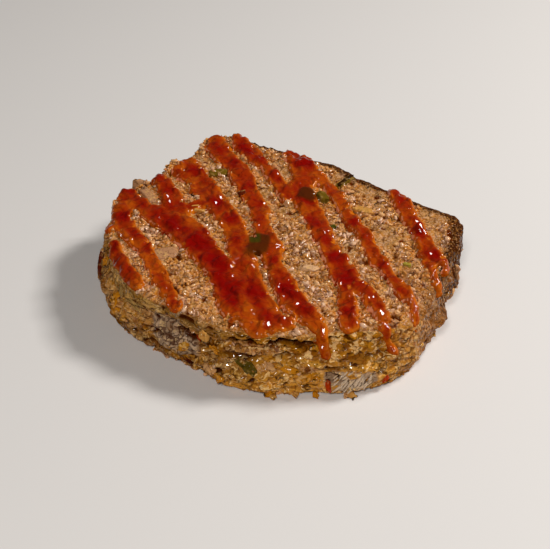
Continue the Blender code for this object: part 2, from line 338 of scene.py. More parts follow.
def turned_from(middle, bearing):
    """Degrees from a middle bearing to each bearing, from -180 to 180."""
    return (bearing - middle + 180.0) % 360.0 - 180.0


def near(values, middle, half):
    """1 near a middle value, falling smoothly to 0 at twice the half-width from it."""
    return 1.0 - smooth_step(0.5 * half, 2.0 * half, np.abs(values - middle))


def around(bearing, middle, half_width):
    """1 near a middle bearing, falling smoothly to 0 at twice the half-width from it."""
    return near(turned_from(middle, bearing), 0.0, half_width)


def humps(rows, bearing, heights):
    """A rounded hump for each row of bearing, height, half-width in degrees, half-height and size."""
    return [
        size * around(bearing, middle, half_width) * near(heights, height, half_height)
        for middle, height, half_width, half_height, size in rows
    ]


def blots(rows, points, ragged, inner, outer):
    """1 in round patches given as (x, y, radius): whole inside the inner share of the radius, and gone
    past the outer one; ragged shifts their edges."""
    shares = []
    for x, y, radius in rows:
        apart = np.hypot(points[:, 0] - x, points[:, 1] - y) + ragged
        shares.append(1.0 - smooth_step(inner * radius, outer * radius, apart))
    return np.max(shares, axis=0)


def noise_at(points, size, seed):
    """Smooth noise from about -1 to 1, with lumps of a size in millimetres: one number, or x, y and z."""
    places = points / np.array(size) + 17.3 * seed
    return np.array([noise.noise(place) for place in places.tolist()])


def wander(points, size, seed):
    """A smooth random shift for each point, of up to about its size."""
    shifts = [noise_at(points, size, seed + step) for step in range(3)]
    return size * np.stack(shifts, axis=1)


def swayed(points, share, size, seed):
    """Points shifted smoothly at random, by up to about a share of a size."""
    return points + share * wander(points, size, seed)


def cell_tones(points, size, seed):
    """A random tone from 0 to 1 for the irregular cell, about a size across, that each point is in."""
    places = points / np.array(size) + 11.9 * seed
    centres = np.array([noise.voronoi(place)[1][0] for place in places.tolist()])
    return np.modf(np.abs(np.sin(centres @ (12.99, 78.23, 37.72))) * 4375.85)[0]


def smooth_curve(points, spacing, axes=2):
    """Points about a spacing apart on the smooth curve through the points, whose first axes are places."""
    knots = np.array(points, float)
    ends = [2 * knots[0] - knots[1], *knots, 2 * knots[-1] - knots[-2]]
    made = []
    for before, start, end, after in zip(ends, ends[1:], ends[2:], ends[3:]):
        count = max(1, math.ceil(np.linalg.norm((end - start)[:axes]) / spacing))
        for t in np.arange(count) / count:
            made.append(0.5 * (2 * start + (end - before) * t
                               + (2 * before - 5 * start + 4 * end - after) * t**2
                               + (3 * start - before - 3 * end + after) * t**3))
    made.append(knots[-1])
    return np.array(made)


# ---------------------------------------------------------------- meshes

def rows_of(items, name, width, kind=float):
    """What each of a mesh's points or edges keeps under a name, one row each."""
    found = np.empty(len(items) * width, kind)
    items.foreach_get(name, found)
    return found.reshape(-1, width)


def mesh_points(mesh):
    """A mesh's points in millimetres, one row each."""
    return rows_of(mesh.vertices, "co", 3) / MM


def place_points(mesh, points):
    mesh.vertices.foreach_set("co", (points * MM).ravel())
    mesh.update()


def mesh_normals(mesh):
    return rows_of(mesh.vertex_normals, "vector", 3)


def mesh_edges(mesh):
    return rows_of(mesh.edges, "vertices", 2, np.int32)


def spread_out(values, edges, rounds):
    """Values at a mesh's points, evened out with their neighbours a number of times."""
    count = np.zeros(len(values))
    np.add.at(count, edges.ravel(), 1.0)
    count = np.maximum(count, 1.0)
    for _ in range(rounds):
        total = np.zeros_like(values)
        np.add.at(total, edges[:, 0], values[edges[:, 1]])
        np.add.at(total, edges[:, 1], values[edges[:, 0]])
        share = total / (count if values.ndim == 1 else count[:, None])
        values = 0.5 * (values + share)
    return values


def store(mesh, name, values):
    """Keep one number for each point of a mesh, for its material to read."""
    layer = mesh.attributes.new(name, "FLOAT", "POINT")
    layer.data.foreach_set("value", np.asarray(values, np.float32))


def stored(mesh, name):
    """The numbers kept under a name, one for each point."""
    return rows_of(mesh.attributes[name].data, "value", 1).ravel()


def add_object(name, mesh):
    made = bpy.data.objects.new(name, mesh)
    bpy.context.scene.collection.objects.link(made)
    return made


def settle(made):
    """Turn an object with modifiers into a plain mesh."""
    view = bpy.context.evaluated_depsgraph_get()
    mesh = bpy.data.meshes.new_from_object(made.evaluated_get(view))
    made.modifiers.clear()
    made.data = mesh
    return made


def modify(made, kind, **settings):
    modifier = made.modifiers.new(kind.lower(), kind)
    for name, value in settings.items():
        setattr(modifier, name, value)
    return settle(made)


def mesh_from(name, points, faces):
    mesh = bpy.data.meshes.new(name)
    mesh.from_pydata((points * MM).tolist(), [], faces)
    mesh.update()
    return mesh


# ---------------------------------------------------------------- node trees

class Value:
    """A socket's value in a node tree. Arithmetic on it adds Math nodes."""

    def __init__(self, tree, socket):
        self.tree = tree
        self.socket = socket

    def math(self, operation, *values):
        return self.tree.add("ShaderNodeMath", {"operation": operation}, dict(enumerate(values)))

    def __add__(self, other):
        return self.math("ADD", self, other)

    def __radd__(self, other):
        return self.math("ADD", other, self)

    def __sub__(self, other):
        return self.math("SUBTRACT", self, other)

    def __rsub__(self, other):
        return self.math("SUBTRACT", other, self)

    def __mul__(self, other):
        return self.math("MULTIPLY", self, other)

    def __rmul__(self, other):
        return self.math("MULTIPLY", other, self)

    def absolute(self):
        return self.math("ABSOLUTE", self)

    def larger(self, other):
        return self.math("MAXIMUM", self, other)

    def smaller(self, other):
        return self.math("MINIMUM", self, other)

    def clamped(self):
        return self.tree.add("ShaderNodeClamp", {}, {"Value": self})

    def between(self, low, high):
        """0 where the value is under low, 1 where it is over high, and a smooth rise between them."""
        return self.tree.add(
            "ShaderNodeMapRange",
            {"interpolation_type": "SMOOTHSTEP"},
            {"Value": self, "From Min": low, "From Max": high},
        )


class Tree:
    """A node tree that is written as expressions."""

    def __init__(self, nodes, links):
        self.nodes = nodes
        self.links = links

    def add(self, kind, settings, values, output=0):
        """Add a node, set it up, fill its sockets with values or links, and return one of its outputs."""
        node = self.nodes.new(kind)
        for name, setting in settings.items():
            setattr(node, name, setting)
        for name, value in values.items():
            if isinstance(value, Value):
                self.links.new(value.socket, node.inputs[name])
            else:
                node.inputs[name].default_value = value
        return Value(self, node.outputs[output])

    def vector(self, operation, *values, **named):
        """Maths on vectors, given in order and then by socket."""
        given = {**dict(enumerate(values)), **named}
        return self.add("ShaderNodeVectorMath", {"operation": operation}, given)

    def waves(self, place, size):
        """A smooth random vector with waves of a size, each part of it from about -0.5 to 0.5."""
        given = {"Vector": place, "Scale": 1 / size, "Detail": 1.0}
        found = self.add("ShaderNodeTexNoise", {}, given, "Color")
        return self.vector("SUBTRACT", found, (0.5,) * 3)


def paint(red, green, blue):
    """A colour as a screen shows it, 0 to 255, as the linear colour that a shader takes."""
    def linear(value):
        share = value / 255.0
        return share / 12.92 if share <= 0.04045 else ((share + 0.055) / 1.055) ** 2.4
    return (linear(red), linear(green), linear(blue), 1.0)


class Finish(Tree):
    """A material with one main shader."""

    def __init__(self, name):
        self.material = bpy.data.materials.new(name)
        self.material.use_nodes = True
        super().__init__(self.material.node_tree.nodes, self.material.node_tree.links)
        self.shader = self.nodes["Principled BSDF"]

    def place(self):
        """The place of each point on the piece, in millimetres."""
        here = self.add("ShaderNodeTexCoord", {}, {}, "Object")
        return self.vector("SCALE", here, Scale=1 / MM)

    def stretched(self, place, sizes):
        """A place divided by sizes along x, y and z, for a pattern that is longer one way."""
        return self.vector("DIVIDE", place, sizes)

    def stored(self, name):
        return self.add("ShaderNodeAttribute", {"attribute_name": name}, {}, "Fac")

    def painted(self):
        """The colour that a piece keeps at each of its points."""
        return self.add("ShaderNodeAttribute", {"attribute_name": "paint"}, {}, "Color")

    def noise(self, place, size, shift=0.0, detail=2.0, rough=0.5):
        """Noise from 0 to 1 with lumps of a size; the shift picks another part of it."""
        moved = self.vector("ADD", place, (shift,) * 3)
        given = {"Vector": moved, "Scale": 1 / size, "Detail": detail, "Roughness": rough}
        return self.add("ShaderNodeTexNoise", {}, given)

    def warped(self, place, size, reach):
        """A place shifted smoothly by up to a reach, to bend a pattern."""
        return self.vector("MULTIPLY_ADD", self.waves(place, size), (2 * reach,) * 3, place)

    def blend(self, share, first, second):
        """Two colours mixed: the first where share is 0, the second where it is 1."""
        first, second = (one if isinstance(one, Value) else paint(*one) for one in (first, second))
        return self.add("ShaderNodeMix", {"data_type": "RGBA"}, {0: share, 6: first, 7: second}, 2)

    def layered(self, colour, *layers):
        """A colour with others laid over it in turn, each given as its share from 0 to 1 and its colour."""
        for share, over in layers:
            colour = self.blend(share, colour, over)
        return colour

    def set(self, **sockets):
        """Fill the main shader's sockets; an underscore stands for a space."""
        for name, value in sockets.items():
            socket = self.shader.inputs[name.replace("_", " ")]
            if isinstance(value, Value):
                self.links.new(value.socket, socket)
            else:
                socket.default_value = value

    def bumps(self, height, depth, strength=1.0, under=None):
        """A normal from a height pattern whose full range is a depth in millimetres."""
        values = {"Height": height, "Distance": depth * MM, "Strength": strength}
        if under is not None:
            values["Normal"] = under
        return self.add("ShaderNodeBump", {}, values)


# ---------------------------------------------------------------- the loaf

def smooth_skin():
    """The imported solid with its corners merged, remeshed finely and smoothed."""
    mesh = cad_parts[NODE].data.copy()
    mesh.materials.clear()
    solid = bmesh.new()
    solid.from_mesh(mesh)
    bmesh.ops.remove_doubles(solid, verts=solid.verts, dist=0.001 * MM)
    solid.to_mesh(mesh)
    solid.free()
    loaf = add_object("loaf", mesh)
    modify(loaf, "REMESH", mode="VOXEL", voxel_size=SKIN_GRID * MM, use_smooth_shade=True)
    modify(loaf, "SMOOTH", factor=0.5, iterations=SKIN_SMOOTHING)
    return loaf


def regions_of(points, normals):
    """The share from 0 to 1 of each kind of surface at each point of the skin."""
    bearing, heights, upward = bearing_of(points), points[:, 2], normals[:, 2]
    shares = {name: np.max(humps(rows, bearing, heights), axis=0) for name, rows in SIDE_PLACES.items()}
    sloping = around(bearing, 243.0, 12.0) * (1.0 - smooth_step(18.5, 20.5, heights))
    shares["face"] = smooth_step(0.4, 0.8, upward) * (1.0 - sloping)
    shares["under"] = smooth_step(0.4, 0.8, -upward)
    shares["foot"] = 1.0 - smooth_step(0.2, 2.5, heights)
    bare = blots(SMOOTH_PATCHES, points, 1.2 * noise_at(points, 3.0, 82), 0.7, 1.0)
    shares["smooth"] = np.maximum(smooth_step(0.2, 0.45, noise_at(points, 7.0, 81)), bare)
    shares["rim"] = around(bearing, 42.0, 46.0) * smooth_step(0.01, 0.06, 1.0 - upward)
    shares["rim"] *= smooth_step(-0.2, 0.2, upward)
    return shares


# A relief is the height over the smooth skin, the noises whose zero lines are its creases, how much shade
# is painted into its pits and cracks, and a tone for each of its cells.

def crumb_relief(points):
    """The cut face's crumb: clumps at uneven levels, worm-like granules on them, and torn pits."""
    bent = swayed(points, 0.5, 4.5, 3)
    level = cell_tones(bent, 3.4, 1)
    tone = cell_tones(swayed(points, 0.4, 1.6, 6), 1.6, 2)
    large = noise_at(bent, 7.0, 61)
    small = noise_at(swayed(points, 0.4, 3.0, 64), 3.2, 62)
    fine = noise_at(swayed(points, 0.3, 1.6, 67), 1.75, 63)
    torn = noise_at(swayed(points, 0.5, 1.6, 12), 2.4, 10) + 0.25 * noise_at(points, 8.0, 11)
    pits = smooth_step(0.32, 0.5, torn)
    height = 2.2 * np.abs(large) + 1.6 * np.abs(small) + 1.1 * np.abs(fine)
    height += 0.8 * (level - 0.5) + 0.3 * (tone - 0.5) - 0.9 * pits
    return dict(height=height - 1.25, large=large, small=small, fine=fine, recess_shade=pits, tone=tone)


def split_depth(points):
    """How deep the long cracks and the holes cut in at each point of the side."""
    bearing = bearing_of(points)
    level = points[:, 2] + 1.1 * noise_at(points, 6.0, 31) + 0.5 * noise_at(points, 2.2, 32)
    depth = np.zeros(len(points))
    for middle, half_width, height, slope, half_height, deep in SPLITS:
        across = (level - height - slope * turned_from(middle, bearing)) / half_height
        depth += deep * np.exp(-across**2) * around(bearing, middle, half_width)
    depth *= smooth_step(-0.35, 0.15, noise_at(points, (7.0, 7.0, 3.0), 30))
    return depth + sum(humps(HOLES, bearing, level))


def fold_relief(points):
    """The wet side: lobes with creases between them, thin layers, lumps and long cracks."""
    bent = swayed(points, 0.45, 7.0, 21)
    large = noise_at(bent, (12.0, 12.0, 5.5), 24)
    small = noise_at(bent, (6.0, 6.0, 2.7), 25)
    fine = noise_at(swayed(points, 0.4, 2.4, 36), (2.6, 2.6, 1.8), 27)
    tone = cell_tones(swayed(points, 0.5, 2.8, 34), (3.2, 3.2, 2.2), 33)
    splits = split_depth(points)
    pits = smooth_step(0.4, 0.6, noise_at(points, (3.0, 3.0, 1.8), 35) + 0.3 * noise_at(points, 9.0, 28))
    height = 3.4 * np.abs(large) + 3.0 * np.abs(small) + 0.5 * np.abs(fine)
    height += 1.2 * np.abs(noise_at(bent, (7.0, 7.0, 1.8), 39)) + 0.4 * (tone - 0.5) - 1.2 * pits - splits
    recess_shade = np.clip(pits + 0.7 * splits, 0.0, 1.0)
    return dict(height=height - 2.1, large=large, small=small, fine=fine, recess_shade=recess_shade, tone=tone)


def crust_relief(points):
    """The baked back and right side: a dry, rough, upright grain."""
    bent = swayed(points, 0.4, 5.0, 44)
    large = noise_at(bent, (6.0, 6.0, 9.0), 41)
    small = noise_at(bent, (3.0, 3.0, 3.8), 42)
    fine = noise_at(swayed(points, 0.3, 1.6, 47), 1.9, 46)
    tone = cell_tones(bent, (2.0, 2.0, 2.6), 48)
    pits = smooth_step(0.36, 0.56, noise_at(bent, (2.2, 2.2, 4.4), 43))
    height = 1.8 * np.abs(large) + 1.4 * np.abs(small) + 0.9 * np.abs(fine)
    height += 0.3 * (tone - 0.5) - 0.8 * pits
    return dict(height=height - 1.0, large=large, small=small, fine=fine, recess_shade=pits, tone=tone)


def raise_skin(loaf):
    """Raise the smooth skin into meat and store what its material reads."""
    mesh = loaf.data
    points, normals = mesh_points(mesh), mesh_normals(mesh)
    glazed = stored(mesh, "glazed")
    covered = smooth_step(0.3, BURIED, glazed)
    edge = near(glazed, 0.0, 1.0)
    regions = regions_of(points, normals)
    regions["rim"] = np.clip(3.0 * spread_out(regions["rim"], mesh_edges(mesh), RIM_SPREADING), 0.0, 1.0)
    under, foot = regions.pop("under"), regions.pop("foot")
    flat = regions["face"] = regions["face"] + under
    wet_side = (1.0 - flat) * regions["wet"]
    dry_side = (1.0 - flat) * (1.0 - regions["wet"])
    crumb, fold, crust = crumb_relief(points), fold_relief(points), crust_relief(points)
    level = np.maximum(crumb["height"], -0.5) * edge + crumb["height"] * (1.0 - edge)
    crumb["height"] = level * (1.0 - 0.7 * covered) * (1.0 - 0.5 * regions["smooth"]) - 0.3 * covered
    mixed = {part: flat * crumb[part] + wet_side * fold[part] + dry_side * crust[part] for part in crumb}
    height = mixed.pop("height") * (1.0 - 0.5 * regions["rim"])
    height = height * (1.0 - 0.7 * foot * (1.0 - flat)) - 0.3 * under
    height = height * (1.0 - 0.5 * regions["lip"]) * (1.0 - 0.25 * regions["calm"] * (1.0 - flat))
    height += (1.0 - flat) * sum(humps(SWELLS, bearing_of(points), points[:, 2]))
    directions = normals.copy()
    directions[:, 2] *= flat
    placed = points + directions * height[:, None]
    placed[:, 2] = np.maximum(placed[:, 2], 0.0)
    place_points(mesh, placed)
    for name, values in {**mixed, **regions}.items():
        store(mesh, name, values)


def billow(finish, place, size, shift):
    """Rounded swells from 0 to 1 with sharp valleys between them."""
    swell = finish.noise(place, size, shift, 1.0) - 0.5
    return (swell.absolute() * 4.0).clamped()


def crinkles(finish, place, size, shift):
    """How far a crumpled noise is from its middle value: 0 on thin wandering lines about a size apart."""
    bent = finish.warped(place, 0.5 * size, 0.2 * size)
    return (finish.noise(bent, size, shift, 1.0) - 0.5).absolute()


def open_share(finish, place):
    """1 where the crumb is open, with more painted shade between its granules; 0 where it is packed."""
    return finish.noise(place, 5.0, 33.0).between(0.46, 0.54)


def juice_share(finish, place):
    """1 where juice from the glaze has soaked into the meat beside it."""
    beside = finish.stored("glazed").between(-2.6, -0.2)
    return beside * finish.noise(place, 3.0, 15.0).between(0.5, 0.58)


class Meat(Finish):
    """Cooked ground meat, with the patterns that its colours share."""

    def __init__(self):
        super().__init__("meat")
        here = self.here = self.place()
        layered_place = self.stretched(self.warped(here, 5.0, 2.0), (4.5, 4.5, 1.5))
        self.fine = self.noise(here, 0.7, detail=3.0, rough=0.6)
        self.broad = self.noise(here, 9.0, 7.0)
        self.spots = self.noise(here, 3.0, 71.0)
        self.patches = self.noise(self.warped(here, 4.0, 2.0), 3.6, 13.0)
        self.layers = self.noise(layered_place, 1.0, 3.0, rough=0.45)
        self.swells = billow(self, self.stretched(self.warped(here, 3.0, 1.2), (1.4, 1.4, 0.8)), 2.4, 19.0)
        self.grains = billow(self, self.warped(here, 1.2, 0.5), 0.95, 51.0)
        self.flat = self.stretched(self.warped(here, 2.0, 0.8), (1.6, 1.6, 1.0))
        self.lines = crinkles(self, self.flat, 2.0, 97.0)
        self.tone, self.face = self.stored("tone"), self.stored("face")
        self.calm, self.golden = self.stored("calm"), self.stored("golden")

    def crumb(self):
        """The cut face: tan granules with painted highlights on light edges, painted shade between them where
        it is open, and juice by the glaze.
        """
        gap_shade = 1.0 - self.grains.between(0.02, 0.3)
        lines = crinkles(self, self.here, 1.6, 87.0)
        return self.layered(
            self.blend(self.tone, (176, 104, 26), (214, 152, 78)),
            (self.broad.between(0.45, 0.65) * 0.5, (184, 120, 56)),
            (self.spots.between(0.54, 0.66) * 0.6, (206, 164, 138)),
            (self.stored("smooth") * (0.3 + 0.5 * self.patches.between(0.4, 0.55)), (170, 118, 62)),
            # Painted shade in the valleys of the grain bump, stronger where the crumb is open.
            (gap_shade * (0.05 + 0.5 * open_share(self, self.here)), (96, 38, 0)),
            (juice_share(self, self.here) * 0.6, (206, 112, 28)),
            # Painted highlights: light edges beside the crinkle lines.
            ((lines.between(0.06, 0.09) - lines.between(0.14, 0.18)) * 0.4, (232, 188, 148)),
        )

    def wet_side(self):
        """The front: browns with painted highlights as light blobs and edges, painted shade as thin darker
        layers and in torn lines, and ashen flesh.
        """
        shade = self.noise(self.warped(self.flat, 2.0, 1.2), 2.6, 43.0, 1.0) + 0.12 * (self.tone - 0.5)
        strands = self.noise(self.stretched(self.warped(self.here, 4.0, 1.0), (6.0, 6.0, 0.9)), 1.0, 63.0)
        highlight_strength = 0.4 + 0.5 * self.stored("painted_highlight")
        lip = self.stored("lip")
        ashen = self.stored("grey").between(0.2, 0.4) * self.patches.between(0.36, 0.42)
        rim_highlights = self.lines.between(0.06, 0.08) - self.lines.between(0.12, 0.16)
        torn = self.patches.between(0.54, 0.62).larger(ashen * (1.0 - self.golden))
        torn = torn * (1.0 - 0.8 * lip) * (1.0 - 0.7 * self.calm)
        return self.layered(
            self.blend(shade.between(0.36, 0.48), (144, 82, 10), (182, 116, 26)),
            (shade.between(0.5, 0.6), (194, 124, 20)),
            (shade.between(0.64, 0.7), (218, 158, 64)),
            # Painted highlights: light blobs, stronger in the painted-highlight places.
            (self.noise(self.here, 2.4, 57.0, 1.0).between(0.58, 0.64) * highlight_strength, (250, 198, 128)),
            (self.golden * 0.5, (238, 168, 70)),
            (self.calm * (0.05 + 0.3 * self.patches.between(0.42, 0.5)), (214, 168, 114)),
            # Painted shade in the low parts of the layered bump.
            ((1.0 - self.layers.between(0.38, 0.46)) * 0.6, (128, 62, 4)),
            (lip * 0.85, self.blend(strands.between(0.4, 0.58), (144, 98, 34), (196, 148, 80))),
            # Painted shade on the shaded patches.
            (self.stored("shaded_patch") * 0.55, (104, 60, 12)),
            (ashen, self.blend(self.tone, (150, 118, 88), (200, 164, 130))),
            # Painted highlights: light edges beside the crinkle lines, stronger in the painted-highlight
            # places.
            (rim_highlights * self.spots.between(0.48, 0.56) * highlight_strength, (255, 206, 132)),
            # Painted shade in the grooves of the torn lines.
            ((1.0 - self.lines.between(0.03, 0.06)) * torn * 0.85, (68, 24, 0)),
        )

    def dry_side(self):
        """The back and right side: an upright grain, browner on the baked crust."""
        upright = self.noise(self.stretched(self.here, (1.0, 1.0, 4.0)), 1.0, 83.0, 3.0, 0.55)
        return self.layered(
            self.blend(upright.between(0.42, 0.62), (150, 88, 34), (196, 144, 96)),
            (self.broad.between(0.5, 0.65) * 0.6, (136, 80, 28)),
            (self.stored("crust") * 0.8, (110, 62, 20)),
        )

    def creases(self):
        """1 along the relief's creases, where its noise crosses zero, broken up so that they come and go:
        where shade is painted.
        """
        broken = self.noise(self.here, 3.5, 41.0).between(0.46, 0.58)
        recess_shade = 0.0
        for name, width, weight in (("large", 0.05, 1.0), ("small", 0.05, 0.6), ("fine", 0.06, 0.15)):
            line = 1.0 - self.stored(name).absolute().between(0.2 * width, width)
            recess_shade = line * weight + recess_shade
        kept = (1.0 - 0.4 * self.face) * (1.0 - 0.5 * self.calm.larger(self.golden))
        return (recess_shade * (0.1 + 0.6 * broken)).clamped() * kept


def meat_finish():
    """The loaf's skin: tan crumb on the cut face, wet brown folds and a darker baked crust, with painted
    shade in its creases, pits, cracks and folds.
    """
    meat = Meat()
    cracks = meat.creases()
    folds = (1.0 - meat.swells.between(0.02, 0.15)) * meat.patches.between(0.5, 0.56)
    baked = (meat.stored("rim") * (0.5 + 1.2 * meat.fine.between(0.4, 0.55))).clamped()
    pit_shade = meat.blend(meat.face, (72, 26, 0), (104, 40, 0))
    juicy = meat.fine.between(0.5, 0.58) * meat.noise(meat.here, 2.2, 61.0, 1.0).between(0.42, 0.52)
    grooves = meat.bumps(meat.lines.between(0.0, 0.14), 0.35, 1.0, meat.bumps(meat.layers, 0.9, 0.8))
    meat.set(
        Base_Color=meat.layered(
            meat.blend(meat.stored("wet").between(0.3, 0.7), meat.dry_side(), meat.wet_side()),
            # Painted shade in the valleys of the swell bump.
            (folds * (0.3 - 0.2 * meat.calm), (64, 26, 0)),
            (meat.face, meat.crumb()),
            (baked, (66, 32, 8)),
            # Painted shade in the pits, cracks and creases of the relief.
            ((meat.stored("recess_shade") + cracks).clamped(), pit_shade),
        ),
        Roughness=0.6,
        Specular_IOR_Level=0.0,
        Coat_Weight=juicy * (1.0 - 0.8 * meat.face) * (1.0 - cracks),
        Coat_Roughness=0.1,
        Coat_IOR=1.8,
        Normal=meat.bumps(meat.swells, 0.4, 1.0, meat.bumps(meat.grains, 0.1, 0.9, grooves)),
    )
    return meat.material


# The last colour, between, is the painted shade where the lumps meet the loaf.
def granule_finish(name, deep, light, other, between):
    """Loose bits of meat, each its own tone, with glints of grease, painted shade where they meet the loaf
    and a painted highlight on their tops.
    """
    granule = Finish(name)
    place = granule.place()
    tone = granule.stored("tone")
    rise = granule.stored("rise") * (1 / MM)
    fine = granule.noise(place, 0.5, rough=0.6)
    patches = granule.noise(place, 4.5, 13.0)
    # Painted shade low down, where the lumps meet the loaf, stronger where the crumb is open.
    gap = (1.0 - rise.between(0.08, 0.38)) * (0.2 + 0.8 * open_share(granule, place))
    granule.set(
        Base_Color=granule.layered(
            granule.blend(tone.between(0.0, 0.8), deep, light),
            (tone.between(0.84, 0.88), other),
            (patches.between(0.52, 0.58) * 0.6, (210, 134, 50)),
            ((1.0 - patches.between(0.4, 0.46)) * 0.6, (222, 178, 148)),
            (juice_share(granule, place) * 0.6, (210, 120, 34)),
            (fine.between(0.55, 0.7) * 0.3, (156, 98, 44)),
            # Painted highlight on the lumps' tops.
            (rise.between(0.35, 0.8) * 0.3, (240, 196, 150)),
            (gap, between),
        ),
        Roughness=0.55,
        Specular_IOR_Level=0.0,
        Coat_Weight=fine.between(0.5, 0.56) * rise.between(0.15, 0.35),
        Coat_Roughness=0.12,
        Coat_IOR=1.9,
        Normal=granule.bumps(fine, 0.25, 0.8),
    )
    return granule.material


# ---------------------------------------------------------------- scattered lumps

def scatter_tree():
    """Geometry nodes that strew rounded lumps over a ground mesh, thickly where its attribute says."""
    group = bpy.data.node_groups.new("strewn_lumps", "GeometryNodeTree")
    sockets = {}
    for name, kind in SCATTER_INPUTS.items():
        sockets[name] = group.interface.new_socket(name, in_out="INPUT", socket_type=kind).identifier
    group.interface.new_socket("Lumps", in_out="OUTPUT", socket_type="NodeSocketGeometry")
    tree = Tree(group.nodes, group.links)
    given = group.nodes.new("NodeGroupInput")
    taken = {name: Value(tree, given.outputs[name]) for name in SCATTER_INPUTS}

    def random_value(kind, limits, step, output=0):
        values = {**limits, "Seed": taken["Seed"] + step}
        return tree.add("FunctionNodeRandomValue", {"data_type": kind}, values, output)

    def keep(geometry, name, value, domain):
        return tree.add(
            "GeometryNodeStoreNamedAttribute", {"data_type": "FLOAT", "domain": domain},
            {"Geometry": geometry, "Name": name, "Value": value},
        )

    thick = tree.add("GeometryNodeInputNamedAttribute", {"data_type": "FLOAT"}, {"Name": "grow"})
    points = tree.add(
        "GeometryNodeDistributePointsOnFaces", {"distribute_method": "POISSON"},
        {"Mesh": taken["Ground"], "Distance Min": taken["Spacing"], "Density Max": DENSITY_LIMIT,
         "Density Factor": thick, "Seed": taken["Seed"]},
    )
    turn = Value(tree, points.socket.node.outputs["Rotation"])
    cube = tree.add("GeometryNodeMeshCube", {}, {"Size": (1.3, 1.3, 1.3)})
    lump = tree.add("GeometryNodeSubdivisionSurface", {}, {"Mesh": cube, "Level": 1})
    spin = random_value("FLOAT_VECTOR", {"Min": (-0.5, -0.5, -3.14), "Max": (0.5, 0.5, 3.14)}, 1)
    loose = tree.add("FunctionNodeEulerToRotation", {}, {0: spin})
    turned = tree.add("FunctionNodeRotateRotation", {"rotation_space": "LOCAL"}, {0: turn, 1: loose})
    size = random_value("FLOAT", {2: taken["Smallest"], 3: taken["Largest"]}, 2, 1)
    longest = tree.add("ShaderNodeCombineXYZ", {}, {"X": taken["Longest"], "Y": 1.1, "Z": 1.1})
    uneven = random_value("FLOAT_VECTOR", {"Min": (1.0, 0.6, 0.7), "Max": longest}, 3)
    strewn = tree.add(
        "GeometryNodeInstanceOnPoints", {},
        {"Points": points, "Instance": lump, "Rotation": turned,
         "Scale": tree.vector("SCALE", uneven, Scale=size)},
    )
    toned = keep(strewn, "tone", random_value("FLOAT", {}, 4, 1), "INSTANCE")
    real = tree.add("GeometryNodeRealizeInstances", {}, {"Geometry": toned})
    waves = tree.waves(tree.add("GeometryNodeInputPosition", {}, {}), CRUMPLE_SIZE * MM)
    shift = tree.vector("SCALE", waves, Scale=taken["Crumple"])
    crumpled = tree.add("GeometryNodeSetPosition", {}, {"Geometry": real, "Offset": shift})
    where = tree.add("GeometryNodeInputPosition", {}, {})
    lifted = tree.vector("MAXIMUM", where, (-1.0, -1.0, 0.0))
    crumpled = tree.add("GeometryNodeSetPosition", {}, {"Geometry": crumpled, "Position": lifted})
    gap = tree.add("GeometryNodeProximity", {}, {"Geometry": taken["Ground"]}, "Distance")
    risen = keep(crumpled, "rise", gap, "POINT")
    smooth = tree.add("GeometryNodeSetShadeSmooth", {}, {"Geometry": risen})
    dressed = tree.add("GeometryNodeSetMaterial", {}, {"Geometry": smooth, "Material": taken["Material"]})
    out = group.nodes.new("NodeGroupOutput")
    group.links.new(dressed.socket, out.inputs["Lumps"])
    return group, sockets


def strew(tree, name, ground, grow, material):
    """A piece of lumps strewn over a ground mesh; grow says how thickly at each of its points."""
    group, sockets = tree
    mesh = ground.data.copy()
    store(mesh, "grow", grow)
    piece = add_object(name, mesh)
    modifier = piece.modifiers.new("lumps", "NODES")
    modifier.node_group = group
    spacing, smallest, largest, longest, crumple, seed = STREWN[name]
    given = {"Spacing": spacing * MM, "Smallest": smallest * MM, "Largest": largest * MM,
             "Longest": longest, "Crumple": crumple * MM, "Seed": seed, "Material": material}
    for socket, value in given.items():
        modifier[sockets[socket]] = value
    settle(piece)
    finish_piece(piece, material)


# ---------------------------------------------------------------- the glaze

class Surface:
    """The smooth skin, to be found from above, from the front and from the side."""

    def __init__(self, mesh):
        faces = [list(face.vertices) for face in mesh.polygons]
        self.tree = BVHTree.FromPolygons(mesh_points(mesh).tolist(), faces)

    def towards(self, start, direction):
        """The first point of the skin from a start along a direction, and the normal there."""
        hit, normal, _, _ = self.tree.ray_cast(start, direction)
        return hit and (np.array(hit), np.array(normal))

    def from_above(self, x, y):
        """The point of the skin under (x, y), or the nearest point of its rim, and the normal there."""
        found = self.towards(Vector((x, y, RAY_HEIGHT)), Vector((0.0, 0.0, -1.0)))
        if found is None:
            hit, normal, _, _ = self.tree.find_nearest(Vector((x, y, TOP - 1.0)))
            found = np.array(hit), np.array(normal)
        return found

    def from_front(self, x, height):
        return self.towards(Vector((x, -RAY_DISTANCE, height)), Vector((0.0, 1.0, 0.0)))

    def from_side(self, bearing, height):
        turn = math.radians(bearing)
        away = Vector((math.cos(turn), math.sin(turn), 0.0))
        return self.towards(away * RAY_DISTANCE + Vector((0.0, 0.0, height)), -away)


def glaze_path(surface):
    """Where the glaze runs: points on the smooth skin, each with the glaze's half-width there."""
    places = []
    for name, stripe in STRIPES.items():
        run = [(*surface.from_above(x, y)[0], half) for x, y, half in smooth_curve(stripe, GLAZE_SAMPLE)]
        places += run
        if name in DRIPS:
            drop = [(*surface.from_front(x, height)[0], half) for x, height, half in DRIPS[name]]
            places += list(smooth_curve([run[-1], *drop], GLAZE_SAMPLE, 3))
    for x, y, radius in BEADS:
        places.append((*surface.from_above(x, y)[0], radius))
    return np.array(places)


def depth_inside(points, path):
    """How far each point is inside the glaze's edge, in millimetres; negative outside it."""
    inside = np.empty(len(points))
    batch = 2000
    for start in range(0, len(points), batch):
        some = points[start:start + batch]
        apart = np.linalg.norm(some[:, None, :] - path[None, :, :3], axis=2)
        inside[start:start + batch] = (path[:, 3] - apart).max(axis=1)
    return inside


